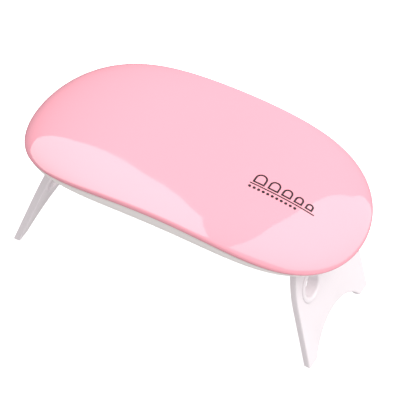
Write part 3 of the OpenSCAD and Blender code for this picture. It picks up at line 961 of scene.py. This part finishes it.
def softbox(name, corners, distance, strength):
    """Bright panel whose corners lie in given directions from the lamp."""
    rays = [Vector(c).normalized() for c in corners]
    facing = sum(rays, Vector()).normalized()
    bm = bmesh.new()
    verts = [bm.verts.new(r * distance / max(0.1, r.dot(facing))) for r in rays]
    bm.faces.new(verts)
    panel = object_from_bmesh(name, bm)
    mat = bpy.data.materials.new(name)
    mat.use_nodes = True
    tree = mat.node_tree
    tree.nodes.clear()
    glow = tree.nodes.new("ShaderNodeEmission")
    glow.inputs["Strength"].default_value = strength
    out = tree.nodes.new("ShaderNodeOutputMaterial")
    tree.links.new(glow.outputs["Emission"], out.inputs["Surface"])
    panel.data.materials.append(mat)
    panel.visible_camera = False
    panel.visible_diffuse = False
    panel.visible_shadow = False


def sun(name, direction, strength, spread):
    """Broad far light from a direction; its soft edge is spread degrees wide."""
    data = bpy.data.lights.new(name, "SUN")
    data.energy = strength
    data.angle = math.radians(spread)
    obj = bpy.data.objects.new(name, data)
    scene.collection.objects.link(obj)
    obj.rotation_euler = Vector(direction).to_track_quat("Z", "Y").to_euler()
    obj.visible_glossy = False


# Light of the sky against the height of a direction, from straight down to straight up.
SKY_LEVELS = ((-1.0, 1.2), (-0.5, 1.2), (-0.1, 0.78), (0.15, 0.72), (0.55, 1.45), (1.0, 1.8))
SKY_PEAK = 1.8
SKY_GLOSS = 0.14
SKY_FRONT = 0.32


def sky():
    """Soft light, strongest from overhead and weak near the horizon; gloss sees it dimmer."""
    world = bpy.data.worlds.new("studio")
    scene.world = world
    world.use_nodes = True
    tree = world.node_tree
    glow = tree.nodes["Background"]
    glow.inputs["Color"].default_value = (1.0, 0.985, 0.99, 1)
    direction = tree.nodes.new("ShaderNodeTexCoord")
    split = tree.nodes.new("ShaderNodeSeparateXYZ")
    upward = tree.nodes.new("ShaderNodeMapRange")
    upward.inputs["From Min"].default_value = -1
    ramp = tree.nodes.new("ShaderNodeValToRGB")
    stops = ramp.color_ramp.elements
    stops.remove(stops[1])
    for index, (height, level) in enumerate(SKY_LEVELS):
        stop = stops[0] if index == 0 else stops.new((height + 1) / 2)
        stop.position = (height + 1) / 2
        stop.color = (level / SKY_PEAK, level / SKY_PEAK, level / SKY_PEAK, 1)
    scale = tree.nodes.new("ShaderNodeMath")
    scale.operation = "MULTIPLY"
    facing = tree.nodes.new("ShaderNodeMapRange")
    facing.inputs["From Min"].default_value = -1
    facing.inputs["From Max"].default_value = 0.15
    facing.inputs["To Min"].default_value = SKY_PEAK * SKY_FRONT
    facing.inputs["To Max"].default_value = SKY_PEAK
    beneath = tree.nodes.new("ShaderNodeMapRange")
    beneath.inputs["From Min"].default_value = -0.05
    beneath.inputs["From Max"].default_value = -0.45
    beneath.inputs["To Max"].default_value = SKY_PEAK
    level = tree.nodes.new("ShaderNodeMath")
    level.operation = "MAXIMUM"
    path = tree.nodes.new("ShaderNodeLightPath")
    seen = tree.nodes.new("ShaderNodeMapRange")
    seen.inputs["To Max"].default_value = SKY_GLOSS
    tree.links.new(direction.outputs["Generated"], split.inputs["Vector"])
    tree.links.new(split.outputs["Z"], upward.inputs["Value"])
    tree.links.new(upward.outputs["Result"], ramp.inputs["Fac"])
    tree.links.new(ramp.outputs["Color"], scale.inputs[0])
    tree.links.new(split.outputs["Y"], facing.inputs["Value"])
    tree.links.new(split.outputs["Z"], beneath.inputs["Value"])
    tree.links.new(facing.outputs["Result"], level.inputs[0])
    tree.links.new(beneath.outputs["Result"], level.inputs[1])
    tree.links.new(level.outputs["Value"], scale.inputs[1])
    tree.links.new(scale.outputs["Value"], seen.inputs["To Min"])
    tree.links.new(path.outputs["Is Glossy Ray"], seen.inputs["Value"])
    tree.links.new(seen.outputs["Result"], glow.inputs["Strength"])


def studio():
    """Even sky, a soft key from the right and two panels that show as highlights."""
    sky()
    sun("key", (0.55, -0.05, 0.83), 1.25, 40)
    sun("side", (1.0, -0.1, 0.1), 0.08, 40)
    softbox("left_panel", [(-0.98, 0.17, 0.06), (-0.88, 0.38, 0.29), (-0.59, 0.49, 0.65),
                           (-0.42, 0.53, 0.75), (-0.30, 0.55, 0.78), (-0.26, 0.53, 0.80),
                           (-0.18, 0.45, 0.875), (-0.12, 0.30, 0.945), (-0.06, 0.10, 0.99),
                           (-0.12, -0.12, 0.985),
                           (-0.42, -0.40, 0.81), (-0.88, -0.46, 0.0)], 2.0, 2.3)
    softbox("right_panel", [(0.06, -0.10, 0.99), (0.04, 0.12, 0.99), (0.02, 0.49, 0.87),
                            (0.07, 0.60, 0.80), (0.15, 0.67, 0.73), (0.33, 0.76, 0.57),
                            (0.46, 0.86, 0.14), (0.44, 0.85, -0.29), (0.92, 0.38, -0.10),
                            (0.96, -0.05, 0.28), (0.70, -0.38, 0.60)], 2.0, 1.8)


def stage():
    """Pale floor under the feet; it lights nothing."""
    bm = bmesh.new()
    bmesh.ops.create_grid(bm, x_segments=1, y_segments=1, size=6.0)
    floor = object_from_bmesh("floor", bm)
    mat = material("pale_floor", (0.9, 0.9, 0.9), 0.9, Specular_IOR_Level=0.0)
    shader = mat.node_tree.nodes["Principled BSDF"]
    shader.inputs["Emission Color"].default_value = (1, 1, 1, 1)
    shader.inputs["Emission Strength"].default_value = 0.55
    floor.data.materials.append(mat)
    floor.visible_diffuse = False
    floor.visible_glossy = False


def dress_cad():
    """Materials for the CAD nodes that show as they are."""
    looks = {
        "case_screws": STEEL, "led_board_screws": STEEL, "main_board_screws": STEEL,
        "left_hinge_pin": STEEL, "right_hinge_pin": STEEL, "usb_shell": STEEL,
        "reflector_plate": REFLECTOR, "led_board": LIGHT_BOARD, "led_packages": PACKAGE,
        "led_lenses": lens_material(), "main_board": GREEN_BOARD, "usb_tongue": BLACK,
        "usb_contacts": GOLD, "switch_body": BLACK, "switch_plunger": NYLON,
        "controller_chip": BLACK, "driver_chip": BLACK,
        "inductor": FERRITE, "resistors": BLACK, "capacitors": FIRED,
        "wire_red": RED_COVERING, "wire_black": BLACK_COVERING,
    }
    for name, mat in looks.items():
        for slot in nodes[name].material_slots:
            slot.material = mat


scene.view_settings.view_transform = "Standard"
camera()
studio()
stage()
dress_cad()
build_cover()
build_housing()
build_button()
build_print()
for leg_side in (-1, 1):
    build_leg(leg_side)
